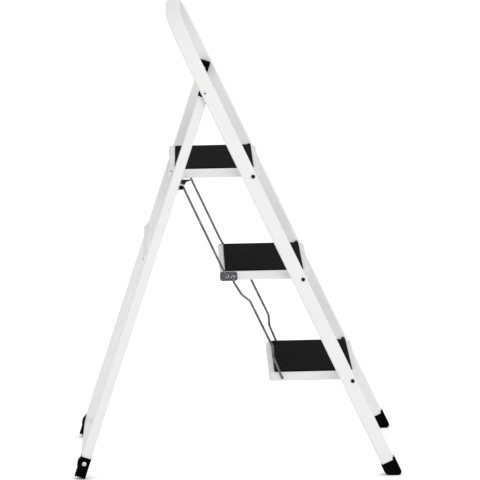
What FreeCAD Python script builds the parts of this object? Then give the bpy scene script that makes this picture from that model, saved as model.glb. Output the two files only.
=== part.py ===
"""Folding step stool with three treads and a hand loop, as a parametric FreeCAD document.

Frame of the part: +X is the climbing side, +Y is the user's left-hand side, +Z is up. The origin
is on the floor, at the centre of the box that the open stool fills. All sizes are millimetres.

The side view is set out from one point, the axis of the frame pivot: the rails lean back to it
from the front feet and the rear legs lean forward to it from the rear feet, so that the platform's
hooks come down on the pegs of the legs. Widths are set out from the steps outwards.
"""
import FreeCAD, Part
import Sketcher
import math
import os
from FreeCAD import Placement, Rotation, Vector

# ---------------------------------------------------------------- driving dimensions
SIZES = {
    # side view
    "first_step_height": 215.0,     # axis of the bottom step above the floor
    "step_rise": 230.0,             # from one step axis to the next
    "pivot_over_step": 185.0,       # frame pivot above the top step's axis
    "handle_over_pivot": 161.0,     # centre of the top bar above the frame pivot
    "rail_lean": 24.6,              # degrees from upright
    # front frame tube
    "leg_to_rail": 8.5,             # from a rear leg's outer face to the rail
    "rail_depth": 31.0,
    "rail_width": 17.0,
    "rail_corner": 4.0,
    "rail_wall": 1.5,
    "handle_bend": 118.0,           # centreline radius of the two top bends
    "pivot_setback": 7.0,           # frame pivot behind the rail's centreline
    "step_setforward": 7.7,         # step axes in front of the rail's centreline
    # rear legs
    "pan_to_leg": 22.0,             # from a step's side to the rear leg's inner face
    "leg_depth": 21.4,
    "leg_width": 17.0,
    "leg_corner": 3.0,
    "leg_wall": 1.4,
    "leg_top": 12.0,                # leg above the frame pivot
    # steps
    "pan_back": 181.0,              # step axis to the pan's rear
    "pan_nose": 15.0,               # step axis to the pan's front
    "pan_length": 330.0,
    "pan_height": 19.0,
    "pan_wall": 1.5,
    "pan_corner": 12.0,
    "pan_edge": 3.5,
    "pan_hem": 8.0,
    "pan_over_axis": 8.4,           # pan's top above the step axis
    "mat_side_inset": 5.0,          # pan's side to the mat
    "mat_rear_inset": 11.2,
    "mat_nose": 3.0,                # step axis to the mat's front
    "mat_thickness": 2.5,
    "mat_corner": 7.0,
    # step pivots
    "bolt_diameter": 6.0,
    "bolt_head_diameter": 8.6,
    "bolt_head_height": 3.2,
    "nut_diameter": 11.5,
    "nut_height": 4.5,
    "spacer_diameter": 9.2,
    # frame pivots
    "pivot_bolt_diameter": 8.0,
    "pivot_head_diameter": 9.2,
    "pivot_head_height": 3.4,
    "pivot_nut_diameter": 13.8,
    "pivot_nut_height": 5.5,
    "pivot_washer_diameter": 19.0,
    # links
    "wire_diameter": 5.2,
    "wire_offset": 9.5,             # from a step's side to the wire's centre
    "wire_bend": 6.0,
    "clip_diameter": 11.0,
    "clip_thickness": 1.5,
    "upper_pin_inset": 15.7,        # in front of the pan's rear
    "upper_pin_drop": 0.8,          # below the step axis
    "lower_pin_inset": 28.3,
    "lower_pin_drop": 3.5,
    "bracket_length": 38.0,
    "bracket_height": 20.5,
    "bracket_thickness": 2.5,
    "bracket_corner": 5.0,
    # rest pegs and the platform's hooks
    "peg_inset": 24.45,             # in front of the platform's rear
    "peg_drop": 25.0,               # below the platform's axis
    "peg_diameter": 10.0,
    "peg_bore": 7.0,
    "peg_overhang": 7.0,            # inwards past the leg's inner face
    "peg_cap_thickness": 2.2,
    "peg_plug_length": 8.0,
    "hook_to_leg": 3.0,             # from the hook plate to the leg's inner face
    "hook_thickness": 2.8,
    "hook_flange": 46.0,
    "hook_flange_height": 12.0,
    "hook_below_peg": 9.0,
    "hook_mouth_angle": 48.0,       # degrees below level, towards the front
    # rear frame bars
    "bar_height": 35.0,
    "bar_diameter": 18.5,
    "bar_bore": 15.5,
    "brace_height": 490.0,
    "brace_width": 21.0,
    "brace_thickness": 3.0,
    "brace_corner": 5.0,
    "brace_bolt_diameter": 5.0,
    "brace_head_diameter": 9.0,
    "brace_head_height": 2.4,
    "screw_diameter": 5.0,
    "screw_head_diameter": 10.5,
    "screw_head_height": 2.2,
    "screw_depth": 18.0,
    # plastic parts
    "foot_wall": 1.8,
    "foot_sole": 4.0,
    "foot_toe_cut": 7.6,
    "foot_heel_cut": 3.4,
    "foot_back_height": 22.8,
    "foot_tongue": 5.6,
    "rear_foot_length": 47.0,
    "rear_foot_wall": 1.9,
    "rear_foot_bulge": 3.4,
    "rear_foot_tuck": 0.6,          # the boot grips the leg this much
    "sole_groove_width": 2.4,
    "sole_groove_depth": 1.8,
    "top_cap_wall": 1.0,
    "top_cap_below": 13.5,
    "top_cap_above": 16.0,
    # clearances
    "running_gap": 0.05,            # radial, pin in a hole
    "fit_gap": 0.1,                 # between pieces of one body that plug together
    "side_gap": 0.4,                # between flat faces that turn against each other
}

doc = FreeCAD.newDocument("step_stool")
sheet = doc.addObject("Spreadsheet::Sheet", "Sizes")
for row, (alias, value) in enumerate(SIZES.items(), start=1):
    sheet.set(f"A{row}", alias)
    sheet.set(f"B{row}", str(value))
    sheet.setAlias(f"B{row}", alias)
doc.recompute()


def size(alias):
    """A driving dimension, read from the sheet."""
    return float(sheet.get(alias))


NODES = []


def register(obj, label):
    """Name a finished sub-part and list it for export."""
    obj.Label = label
    NODES.append(obj)
    return obj


def bind(obj, **expressions):
    """Tie properties of an object to the sheet; a bare alias means that cell."""
    for name, expression in expressions.items():
        obj.setExpression(name, expression)
    return obj


# ---------------------------------------------------------------- set-out of the side view
RAIL_LEAN = math.radians(size("rail_lean"))
RAIL_TURN = Rotation(Vector(0, 1, 0), -size("rail_lean"))
SIDES = {"left": 1, "right": -1}
TOP_STEP_HEIGHT = size("first_step_height") + 2 * size("step_rise")
PIVOT_HEIGHT = TOP_STEP_HEIGHT + size("pivot_over_step")

rail_half = size("rail_depth") / 2
leg_half = size("leg_depth") / 2
foot_reach = (rail_half + size("foot_wall")) / math.cos(RAIL_LEAN)
toe_relief = 3.0
rear_foot_half = leg_half + size("rear_foot_wall") - size("rear_foot_tuck")


def rail_point(pivot, forward, along):
    """Point in the side view: forward of the rail's centreline, along it from the pivot's level."""
    start = forward + size("pivot_setback")
    return Vector(pivot.x + start * math.cos(RAIL_LEAN) - along * math.sin(RAIL_LEAN), 0,
                  pivot.z + start * math.sin(RAIL_LEAN) + along * math.cos(RAIL_LEAN))


def leg_point(pivot, forward, along):
    """Point in the side view: forward of the rear leg's centreline, along it from the pivot."""
    return Vector(pivot.x + forward * math.cos(LEG_LEAN) + along * math.sin(LEG_LEAN), 0,
                  pivot.z - forward * math.sin(LEG_LEAN) + along * math.cos(LEG_LEAN))


def rail_station(height, forward=0.0):
    """Distance along the rail from the pivot's level to a given height."""
    lift = (forward + size("pivot_setback")) * math.sin(RAIL_LEAN)
    return (height - PIVOT_HEIGHT - lift) / math.cos(RAIL_LEAN)


# The rear legs lean so far that the pegs on their fronts come under the platform's rear corners.
step_forward = size("step_setforward")
floor_pivot = Vector(0, 0, PIVOT_HEIGHT)
top_axis = rail_point(floor_pivot, step_forward, rail_station(TOP_STEP_HEIGHT, step_forward))
platform_rear = top_axis.x - size("pan_back")
peg_reach = -(platform_rear + size("peg_inset"))
peg_depth = size("pivot_over_step") + size("peg_drop")
WELD_GAP = 0.02
PEG_FORWARD = leg_half + size("peg_diameter") / 2 + WELD_GAP
LEG_LEAN = math.atan2(peg_reach, peg_depth) + math.asin(PEG_FORWARD / math.hypot(peg_reach, peg_depth))
LEG_TURN = Rotation(Vector(0, 1, 0), math.degrees(LEG_LEAN))


def leg_station(height, forward=0.0):
    """Distance along the rear leg from the pivot to a given height."""
    return (height - PIVOT_HEIGHT + forward * math.sin(LEG_LEAN)) / math.cos(LEG_LEAN)


# The pivot stands where the open stool's front and rear reach are equal.
toe = rail_point(floor_pivot, 0, rail_station(0)).x + foot_reach - toe_relief
heel_station = leg_station(0, rear_foot_half)
heel = leg_point(floor_pivot, -rear_foot_half, heel_station).x
PIVOT = Vector(-(toe + heel) / 2, 0, PIVOT_HEIGHT)

STEP_AXES = {}
for index, name in enumerate(["bottom", "middle", "top"]):
    height = size("first_step_height") + index * size("step_rise")
    STEP_AXES[name] = rail_point(PIVOT, step_forward, rail_station(height, step_forward))

PEG = leg_point(PIVOT, PEG_FORWARD, leg_station(TOP_STEP_HEIGHT - size("peg_drop"), PEG_FORWARD))
BAR = leg_point(PIVOT, 0, leg_station(size("bar_height")))

pan_side = size("pan_length") / 2
skirt_inner = pan_side - size("pan_wall")
wire_plane = pan_side + size("wire_offset")
leg_inner = pan_side + size("pan_to_leg")
leg_outer = leg_inner + size("leg_width")
leg_centre = leg_inner + size("leg_width") / 2
hook_inner = leg_inner - size("hook_to_leg") - size("hook_thickness")
peg_inner_end = leg_inner - size("peg_overhang")
rail_inner = leg_outer + size("leg_to_rail")
rail_outer = rail_inner + size("rail_width")
rail_centre = rail_inner + size("rail_width") / 2
LEG_INNER = "Sizes.pan_length / 2 + Sizes.pan_to_leg"
RAIL_CENTRE = f"{LEG_INNER} + Sizes.leg_width + Sizes.leg_to_rail + Sizes.rail_width / 2"


# ---------------------------------------------------------------- sketches
def origin_plane(body, role):
    """One of a body's own origin planes."""
    return next(item for item in body.Origin.OriginFeatures if item.Role == role)


def new_sketch(body, name, role, offset=None):
    """Empty sketch on an origin plane of its own body."""
    sketch = body.newObject("Sketcher::SketchObject", name)
    sketch.AttachmentSupport = [(origin_plane(body, role), "")]
    sketch.MapMode = "FlatFace"
    if offset:
        sketch.AttachmentOffset = Placement(offset, Rotation())
    return sketch


def constrain(sketch, name, constraint, expression):
    """Add a dimension to a sketch and tie it to the sheet."""
    index = sketch.addConstraint(constraint)
    sketch.renameConstraint(index, name)
    sketch.setExpression("Constraints." + name, expression)


def rounded_rectangle(sketch, width, depth, corner):
    """Rectangle with rounded corners about the sketch's origin; each size is an expression."""
    start_width, start_depth, start_corner = 60.0, 40.0, 4.0
    x, y, r = start_width / 2, start_depth / 2, start_corner
    corners = [(x, y), (-x, y), (-x, -y), (x, -y)]
    lines = []
    for k, (cx, cy) in enumerate(corners):
        nx, ny = corners[(k + 1) % 4]
        ux, uy = (nx > cx) - (nx < cx), (ny > cy) - (ny < cy)
        lines.append(sketch.addGeometry(Part.LineSegment(Vector(cx + ux * r, cy + uy * r, 0),
                                                         Vector(nx - ux * r, ny - uy * r, 0))))
    arcs = []
    for k, (cx, cy) in enumerate(corners):
        centre = Vector(cx - math.copysign(r, cx), cy - math.copysign(r, cy), 0)
        circle = Part.Circle(centre, Vector(0, 0, 1), r)
        arcs.append(sketch.addGeometry(Part.ArcOfCircle(circle, k * math.pi / 2, (k + 1) * math.pi / 2)))
    for k in range(4):
        sketch.addConstraint(Sketcher.Constraint("Tangent", arcs[k], 2, lines[k], 1))
        sketch.addConstraint(Sketcher.Constraint("Tangent", lines[k], 2, arcs[(k + 1) % 4], 1))
        sketch.addConstraint(Sketcher.Constraint("Horizontal" if k % 2 == 0 else "Vertical", lines[k]))
    for k in range(1, 4):
        sketch.addConstraint(Sketcher.Constraint("Equal", arcs[0], arcs[k]))
    sketch.addConstraint(Sketcher.Constraint("Symmetric", arcs[0], 3, arcs[2], 3, -1, 1))
    tag = f"{lines[0]}"
    across = Sketcher.Constraint("DistanceX", lines[1], 1, lines[3], 1, start_width)
    along = Sketcher.Constraint("DistanceY", lines[2], 1, lines[0], 1, start_depth)
    constrain(sketch, "Width" + tag, across, width)
    constrain(sketch, "Depth" + tag, along, depth)
    constrain(sketch, "Corner" + tag, Sketcher.Constraint("Radius", arcs[0], start_corner), corner)


def drill(body, name, role, holes):
    """Pocket right through a body, both ways, with one circle for each (x, y, diameter alias, gap)."""
    sketch = new_sketch(body, name + "_sketch", role)
    for number, (x, y, diameter, gap) in enumerate(holes):
        circle = sketch.addGeometry(Part.Circle(Vector(x, y, 0), Vector(0, 0, 1), 3.0))
        sketch.addConstraint(Sketcher.Constraint("DistanceX", -1, 1, circle, 3, x))
        sketch.addConstraint(Sketcher.Constraint("DistanceY", -1, 1, circle, 3, y))
        constrain(sketch, f"Hole{number}", Sketcher.Constraint("Diameter", circle, 6.0),
                  f"Sizes.{diameter} + 2 * Sizes.{gap}")
    pocket = body.newObject("PartDesign::Pocket", name)
    pocket.Profile = sketch
    pocket.Type = "ThroughAll"
    pocket.SideType = "Symmetric"
    return pocket


# ---------------------------------------------------------------- primitives
def box(name, length, width, height, place):
    """Box with bound sizes; place is its lowest corner as a Placement or Vector."""
    obj = bind(doc.addObject("Part::Box", name), Length=length, Width=width, Height=height)
    obj.Placement = place if isinstance(place, Placement) else Placement(place, Rotation())
    return obj


def cylinder_y(name, radius, height, x, y, z):
    """Cylinder along +Y from the point (x, y, z), with bound radius and height."""
    obj = bind(doc.addObject("Part::Cylinder", name), Radius=radius, Height=height)
    obj.Placement = Placement(Vector(x, y, z), Rotation(Vector(1, 0, 0), -90))
    return obj


def cut(name, base, *tools):
    """Base less its tools."""
    for number, tool in enumerate(tools):
        result = doc.addObject("Part::Cut", f"{name}_cut{number}")
        result.Base = base
        result.Tool = tool
        base = result
    return base


def fuse(name, *shapes):
    """One solid from shapes that touch."""
    result = doc.addObject("Part::MultiFuse", name)
    result.Shapes = list(shapes)
    result.Refine = True
    return result


def round_edges(name, base, radius, wanted):
    """Fillet the edges of base for which wanted(edge) is true."""
    doc.recompute()
    chosen = [(number, radius, radius) for number, edge in enumerate(base.Shape.Edges, start=1)
              if wanted(edge)]
    result = doc.addObject("Part::Fillet", name)
    result.Base = base
    result.Edges = chosen
    return result


def group(label, members):
    """Several separate solids in one node."""
    result = doc.addObject("Part::Compound", label + "_group")
    result.Links = members
    return register(result, label)


def extrude_outline(name, edges, thickness, y):
    """Plate in the side view: closed edges in the XZ plane, extruded along +Y from y."""
    face = Part.Face(Part.Wire(edges))
    solid = face.extrude(Vector(0, thickness, 0))
    solid.translate(Vector(0, y, 0))
    obj = doc.addObject("Part::Feature", name)
    obj.Shape = solid
    return obj


def polygon(points):
    """Closed line edges through (x, z) points."""
    corners = [Vector(x, 0, z) for x, z in points]
    return [Part.LineSegment(a, b).toShape() for a, b in zip(corners, corners[1:] + corners[:1])]


def is_along(edge, axis):
    """Whether an edge is straight and runs along an axis."""
    if not isinstance(edge.Curve, Part.Line):
        return False
    return abs(abs(edge.tangentAt(edge.FirstParameter).dot(axis)) - 1) < 1e-6


X_AXIS, Y_AXIS, Z_AXIS = Vector(1, 0, 0), Vector(0, 1, 0), Vector(0, 0, 1)


# ---------------------------------------------------------------- front frame
def build_frame_tube():
    """Rails and hand loop: one tube, swept from foot to foot round the two top bends."""
    foot_lift = size("foot_sole") + rail_half * math.sin(RAIL_LEAN)
    start = rail_station(foot_lift)
    length = rail_station(PIVOT_HEIGHT + size("handle_over_pivot")) - start
    half = rail_centre
    bend = size("handle_bend")
    body = doc.addObject("PartDesign::Body", "frame_tube")
    path = new_sketch(body, "tube_path", "YZ_Plane")
    shoulder = length - bend
    left = path.addGeometry(Part.LineSegment(Vector(-half, 0, 0), Vector(-half, shoulder, 0)))
    bend_one = path.addGeometry(Part.ArcOfCircle(
        Part.Circle(Vector(-half + bend, shoulder, 0), Z_AXIS, bend), math.pi / 2, math.pi))
    top = path.addGeometry(Part.LineSegment(Vector(-half + bend, length, 0), Vector(half - bend, length, 0)))
    bend_two = path.addGeometry(Part.ArcOfCircle(
        Part.Circle(Vector(half - bend, shoulder, 0), Z_AXIS, bend), 0, math.pi / 2))
    right = path.addGeometry(Part.LineSegment(Vector(half, shoulder, 0), Vector(half, 0, 0)))
    for first, end, second, begin in [(left, 2, bend_one, 2), (bend_one, 1, top, 1),
                                      (top, 2, bend_two, 2), (bend_two, 1, right, 1)]:
        path.addConstraint(Sketcher.Constraint("Tangent", first, end, second, begin))
    path.addConstraint(Sketcher.Constraint("Vertical", left))
    path.addConstraint(Sketcher.Constraint("Horizontal", top))
    path.addConstraint(Sketcher.Constraint("Equal", bend_one, bend_two))
    path.addConstraint(Sketcher.Constraint("Symmetric", left, 1, right, 2, -2))
    path.addConstraint(Sketcher.Constraint("DistanceY", left, 1, top, 1, length))
    path.addConstraint(Sketcher.Constraint("DistanceY", -1, 1, left, 1, 0))
    constrain(path, "Bend", Sketcher.Constraint("Radius", bend_one, bend), "Sizes.handle_bend")
    constrain(path, "Spacing", Sketcher.Constraint("DistanceX", left, 1, right, 2, 2 * half),
              f"2 * ({RAIL_CENTRE})")
    section = new_sketch(body, "tube_section", "XY_Plane", Vector(0, -half, 0))
    rounded_rectangle(section, "Sizes.rail_depth", "Sizes.rail_width", "Sizes.rail_corner")
    rounded_rectangle(section, "Sizes.rail_depth - 2 * Sizes.rail_wall",
                      "Sizes.rail_width - 2 * Sizes.rail_wall", "Sizes.rail_corner - Sizes.rail_wall")
    pipe = body.newObject("PartDesign::AdditivePipe", "tube_sweep")
    pipe.Profile = section
    pipe.Spine = path
    doc.recompute()
    holes = [(-size("pivot_setback"), -start, "pivot_bolt_diameter", "running_gap")]
    for axis in STEP_AXES.values():
        station = rail_station(axis.z, step_forward) - start
        holes.append((step_forward, station, "bolt_diameter", "running_gap"))
    drill(body, "pivot_holes", "XZ_Plane", holes)
    body.Placement = Placement(rail_point(PIVOT, 0, start), RAIL_TURN)
    return register(body, "front_frame_tube")


def build_front_foot(side, sign):
    """Plastic shoe on a rail's lower end: level sole, top edge square to the rail, front tongue."""
    wall = size("foot_wall")
    reach = rail_half + wall
    ground = rail_point(PIVOT, 0, rail_station(0))

    def corner(forward, height):
        """Point a distance in front of the rail's centreline, at a height."""
        return (ground.x + forward / math.cos(RAIL_LEAN) - height * math.tan(RAIL_LEAN), height)

    back_station = rail_station(size("foot_back_height"), -reach)

    def on_top(forward, extra=0.0):
        point = rail_point(PIVOT, forward, back_station + extra)
        return (point.x, point.z)

    toe_cut, heel_cut, tongue = size("foot_toe_cut"), size("foot_heel_cut"), size("foot_tongue")
    tongue_depth, tongue_slope = 3.0, 1.5
    outline = [corner(-reach + heel_cut, 0), corner(reach - toe_cut, 0), corner(reach - 0.1 * toe_cut, 5.5),
               corner(reach, 8.0), on_top(reach, tongue), on_top(rail_half - tongue_depth, tongue),
               on_top(rail_half - tongue_depth - tongue_slope), on_top(-reach), corner(-reach, 8.5),
               corner(-reach + 0.35 * heel_cut, 3.0)]
    centre = sign * rail_centre
    width = size("rail_width") + 2 * wall
    block = extrude_outline(f"front_foot_{side}_block", polygon(outline), width, centre - width / 2)
    edge_radius = 1.2
    block = round_edges(f"front_foot_{side}_rounded", block, edge_radius,
                        lambda edge: abs(edge.BoundBox.YLength) < 1e-6)
    socket = bind(doc.addObject("Part::Box", f"front_foot_{side}_socket"),
                  Length="Sizes.rail_depth + 2 * Sizes.fit_gap",
                  Width="Sizes.rail_width + 2 * Sizes.fit_gap", Height="3 * Sizes.foot_back_height")
    start = rail_station(size("foot_sole") + rail_half * math.sin(RAIL_LEAN)) - size("fit_gap")
    place = rail_point(PIVOT, -rail_half - size("fit_gap"), start)
    place.y = centre - size("rail_width") / 2 - size("fit_gap")
    socket.Placement = Placement(place, RAIL_TURN)
    socket = round_edges(f"front_foot_{side}_socket_rounded", socket, size("rail_corner"),
                         lambda edge: is_along(edge, RAIL_TURN.multVec(Z_AXIS)))
    return register(cut(f"front_foot_{side}", block, socket), f"front_foot_cap_{side}")


def round_head(name, diameter, height, x, y, z, outward):
    """Domed bolt head standing on y, on the side that outward points to."""
    start = y if outward > 0 else y - size(height)
    head = cylinder_y(name, f"Sizes.{diameter} / 2", f"Sizes.{height}", x, start, z)
    crown = y + outward * size(height)
    dome = 0.62 * size(height)
    return round_edges(name + "_domed", head, dome,
                       lambda edge: abs(edge.BoundBox.YMin - crown) + abs(edge.BoundBox.YMax - crown) < 1e-4)


def bolt_along_y(name, axis, sign, inner, outer, diameter, head_diameter, head_height):
    """Bolt across one side of the frame: shank from inner to outer and a domed head outside."""
    start = inner if sign > 0 else -outer
    shank = cylinder_y(name + "_shank", f"Sizes.{diameter} / 2", "10", axis.x, start, axis.z)
    shank.setExpression("Height", None)
    shank.Height = outer - inner
    head = round_head(name + "_head", head_diameter, head_height, axis.x, sign * outer, axis.z, sign)
    return fuse(name, shank, head)


def hex_nut(name, axis, start, diameter, height, bore):
    """Hexagonal nut along Y from start, bored to clear its bolt."""
    prism = bind(doc.addObject("Part::Prism", name + "_prism"), Circumradius=f"Sizes.{diameter} / 2",
                 Height=f"Sizes.{height}")
    prism.Polygon = 6
    prism.Placement = Placement(Vector(axis.x, start, axis.z), Rotation(X_AXIS, -90))
    hole = cylinder_y(name + "_hole", f"Sizes.{bore} / 2 + Sizes.running_gap", f"Sizes.{height} + 2",
                      axis.x, start - 1, axis.z)
    return cut(name, prism, hole)


def ring(name, outer_radius, bore_radius, length, axis, start):
    """Plain ring along Y from start; the radii are expressions and the length a number."""
    body = cylinder_y(name + "_outer", outer_radius, "10", axis.x, start, axis.z)
    hole = cylinder_y(name + "_bore", bore_radius, "10", axis.x, start - 1, axis.z)
    for obj, value in ((body, length), (hole, length + 2)):
        obj.setExpression("Height", None)
        obj.Height = value
    return cut(name, body, hole)


def build_step_pivots():
    """Six bolts, their nuts inside the pans and the spacer sleeves between rail and pan."""
    bolts, nuts, spacers = [], [], []
    gap = size("side_gap")
    nut_outer = skirt_inner - gap
    nut_inner = nut_outer - size("nut_height")
    shank_end = nut_inner - size("bolt_diameter") / 4
    spacer_start = pan_side + gap
    spacer_length = rail_inner - spacer_start
    for step, axis in STEP_AXES.items():
        for side, sign in SIDES.items():
            tag = f"{step}_{side}"
            bolts.append(bolt_along_y(f"step_bolt_{tag}", axis, sign, shank_end, rail_outer,
                                      "bolt_diameter", "bolt_head_diameter", "bolt_head_height"))
            nuts.append(hex_nut(f"step_nut_{tag}", axis, nut_inner if sign > 0 else -nut_outer,
                                "nut_diameter", "nut_height", "bolt_diameter"))
            spacers.append(ring(f"step_spacer_{tag}", "Sizes.spacer_diameter / 2",
                                "Sizes.bolt_diameter / 2 + Sizes.running_gap", spacer_length, axis,
                                spacer_start if sign > 0 else -spacer_start - spacer_length))
    group("step_pivot_bolts", bolts)
    group("step_pivot_nuts", nuts)
    group("step_pivot_spacers", spacers)


def build_frame_pivots():
    """The two bolts on which the rear frame turns, their nuts and the washers beside the legs."""
    gap = size("side_gap")
    cap_inner = leg_inner - size("top_cap_wall")
    cap_outer = leg_outer + size("top_cap_wall")
    nut_outer = cap_inner - gap
    nut_inner = nut_outer - size("pivot_nut_height")
    washer_start = cap_outer + gap
    washer_length = rail_inner - washer_start
    bolts, nuts, washers = [], [], []
    for side, sign in SIDES.items():
        shank_end = nut_inner - size("pivot_bolt_diameter") / 8
        bolts.append(bolt_along_y(f"frame_bolt_{side}", PIVOT, sign, shank_end, rail_outer,
                                  "pivot_bolt_diameter", "pivot_head_diameter", "pivot_head_height"))
        nuts.append(hex_nut(f"frame_nut_{side}", PIVOT, nut_inner if sign > 0 else -nut_outer,
                            "pivot_nut_diameter", "pivot_nut_height", "pivot_bolt_diameter"))
        washers.append(ring(f"frame_washer_{side}", "Sizes.pivot_washer_diameter / 2",
                            "Sizes.pivot_bolt_diameter / 2 + Sizes.running_gap", washer_length, PIVOT,
                            washer_start if sign > 0 else -washer_start - washer_length))
    group("frame_pivot_bolts", bolts)
    group("frame_pivot_nuts", nuts)
    group("frame_pivot_washers", washers)


# ---------------------------------------------------------------- rear frame
LEG_END = leg_station(0, rear_foot_half) + size("foot_sole")
BRACE_STATION = leg_station(size("brace_height"), -leg_half)


def build_rear_leg(side, sign):
    """Straight rectangular tube from the foot to just above the frame pivot."""
    body = doc.addObject("PartDesign::Body", f"leg_{side}")
    section = new_sketch(body, f"leg_section_{side}", "XY_Plane")
    rounded_rectangle(section, "Sizes.leg_depth", "Sizes.leg_width", "Sizes.leg_corner")
    rounded_rectangle(section, "Sizes.leg_depth - 2 * Sizes.leg_wall",
                      "Sizes.leg_width - 2 * Sizes.leg_wall", "Sizes.leg_corner - Sizes.leg_wall")
    pad = body.newObject("PartDesign::Pad", f"leg_pad_{side}")
    pad.Profile = section
    pad.Length = size("leg_top") - LEG_END
    doc.recompute()
    drill(body, f"leg_holes_{side}", "XZ_Plane",
          [(0, -LEG_END, "pivot_bolt_diameter", "running_gap"),
           (0, leg_station(size("bar_height")) - LEG_END, "screw_diameter", "fit_gap")])
    drill(body, f"leg_brace_hole_{side}", "YZ_Plane",
          [(0, BRACE_STATION - LEG_END, "brace_bolt_diameter", "fit_gap")])
    place = leg_point(PIVOT, 0, LEG_END)
    place.y = sign * leg_centre
    body.Placement = Placement(place, LEG_TURN)
    return register(body, f"rear_leg_{side}")


def leg_block(name, depth, width, height, forward, centre, along):
    """Box in the rear leg's own directions, centred across it, from a station upwards."""
    place = leg_point(PIVOT, forward, along)
    place.y = centre
    return box(name, depth, width, height, Placement(place, LEG_TURN))


def build_top_cap(side, sign):
    """Plastic cap over the leg's top end, with the pivot hole through it."""
    centre = sign * leg_centre
    wall, gap = size("top_cap_wall"), size("fit_gap")
    outer = leg_block(f"top_cap_{side}_block", "Sizes.leg_depth + 2 * Sizes.top_cap_wall",
                      "Sizes.leg_width + 2 * Sizes.top_cap_wall",
                      "Sizes.top_cap_below + Sizes.top_cap_above",
                      -leg_half - wall, centre - size("leg_width") / 2 - wall, -size("top_cap_below"))
    outer = round_edges(f"top_cap_{side}_rounded", outer, 0.8 * wall, lambda edge: True)
    socket = leg_block(f"top_cap_{side}_socket", "Sizes.leg_depth + 2 * Sizes.fit_gap",
                       "Sizes.leg_width + 2 * Sizes.fit_gap", "Sizes.top_cap_below + Sizes.leg_top + 1",
                       -leg_half - gap, centre - size("leg_width") / 2 - gap,
                       -size("top_cap_below") - 1 + gap)
    hole = cylinder_y(f"top_cap_{side}_hole", "Sizes.pivot_bolt_diameter / 2 + Sizes.running_gap",
                      "2 * Sizes.leg_width", PIVOT.x, centre - size("leg_width"), PIVOT.z)
    return register(cut(f"top_cap_{side}", outer, socket, hole), f"rear_leg_top_cap_{side}")


def build_rear_foot(side, sign):
    """Plastic boot on the leg's lower end: grooved sole, open inner side, swelling at the back."""
    centre = sign * leg_centre
    base = leg_station(0, rear_foot_half)
    length = size("rear_foot_length")
    half = rear_foot_half
    bulge = size("rear_foot_bulge")
    points = [(half, 0), (half, length), (-half, length)]
    swelling = [(5, 0), (9, 0.75), (14, 1), (20, 0.8), (27, 0)]
    points += [(-half - bulge * share, length - below) for below, share in swelling]
    points.append((-half, 0))
    groove_width, groove_depth = size("sole_groove_width"), size("sole_groove_depth")
    count, draft = 4, 0.4
    pitch = 2 * half / (count + 0.5)
    for number in range(count):
        left = -half + pitch * (number + 0.75) - groove_width / 2
        points += [(left, 0), (left + draft, groove_depth), (left + groove_width - draft, groove_depth),
                   (left + groove_width, 0)]
    world = [leg_point(PIVOT, forward, base + along) for forward, along in points]
    width = size("leg_width") + 2 * size("rear_foot_wall")
    block = extrude_outline(f"rear_foot_{side}_block", polygon([(p.x, p.z) for p in world]), width,
                            centre - width / 2)
    gap = size("fit_gap")
    socket = leg_block(f"rear_foot_{side}_socket", "Sizes.leg_depth + 2 * Sizes.fit_gap",
                       "Sizes.leg_width + 2 * Sizes.fit_gap", "Sizes.rear_foot_length",
                       -leg_half - gap, centre - size("leg_width") / 2 - gap, LEG_END - gap)
    screw_hole = cylinder_y(f"rear_foot_{side}_screw_hole", "Sizes.screw_diameter / 2 + Sizes.fit_gap",
                            "2 * Sizes.leg_width", BAR.x, centre - size("leg_width"), BAR.z)
    inner = centre - sign * size("leg_width") / 2
    bar_hole = cylinder_y(f"rear_foot_{side}_bar_hole", "Sizes.bar_diameter / 2 + Sizes.fit_gap",
                          "3 * Sizes.rear_foot_wall", BAR.x,
                          inner - (3 * size("rear_foot_wall") if sign > 0 else 0), BAR.z)
    # The inner wall is open above the bar, so that only the front and rear walls run on upwards.
    window_start = leg_station(size("bar_height"))
    wall_reach = size("rear_foot_wall") + gap
    window = leg_block(f"rear_foot_{side}_window", "Sizes.leg_depth",
                       "2 * (Sizes.rear_foot_wall + Sizes.fit_gap)", "Sizes.rear_foot_length",
                       -leg_half, inner - wall_reach, window_start)
    boot = cut(f"rear_foot_{side}", block, socket, screw_hole, bar_hole, window)
    return register(boot, f"rear_foot_cap_{side}")


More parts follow.
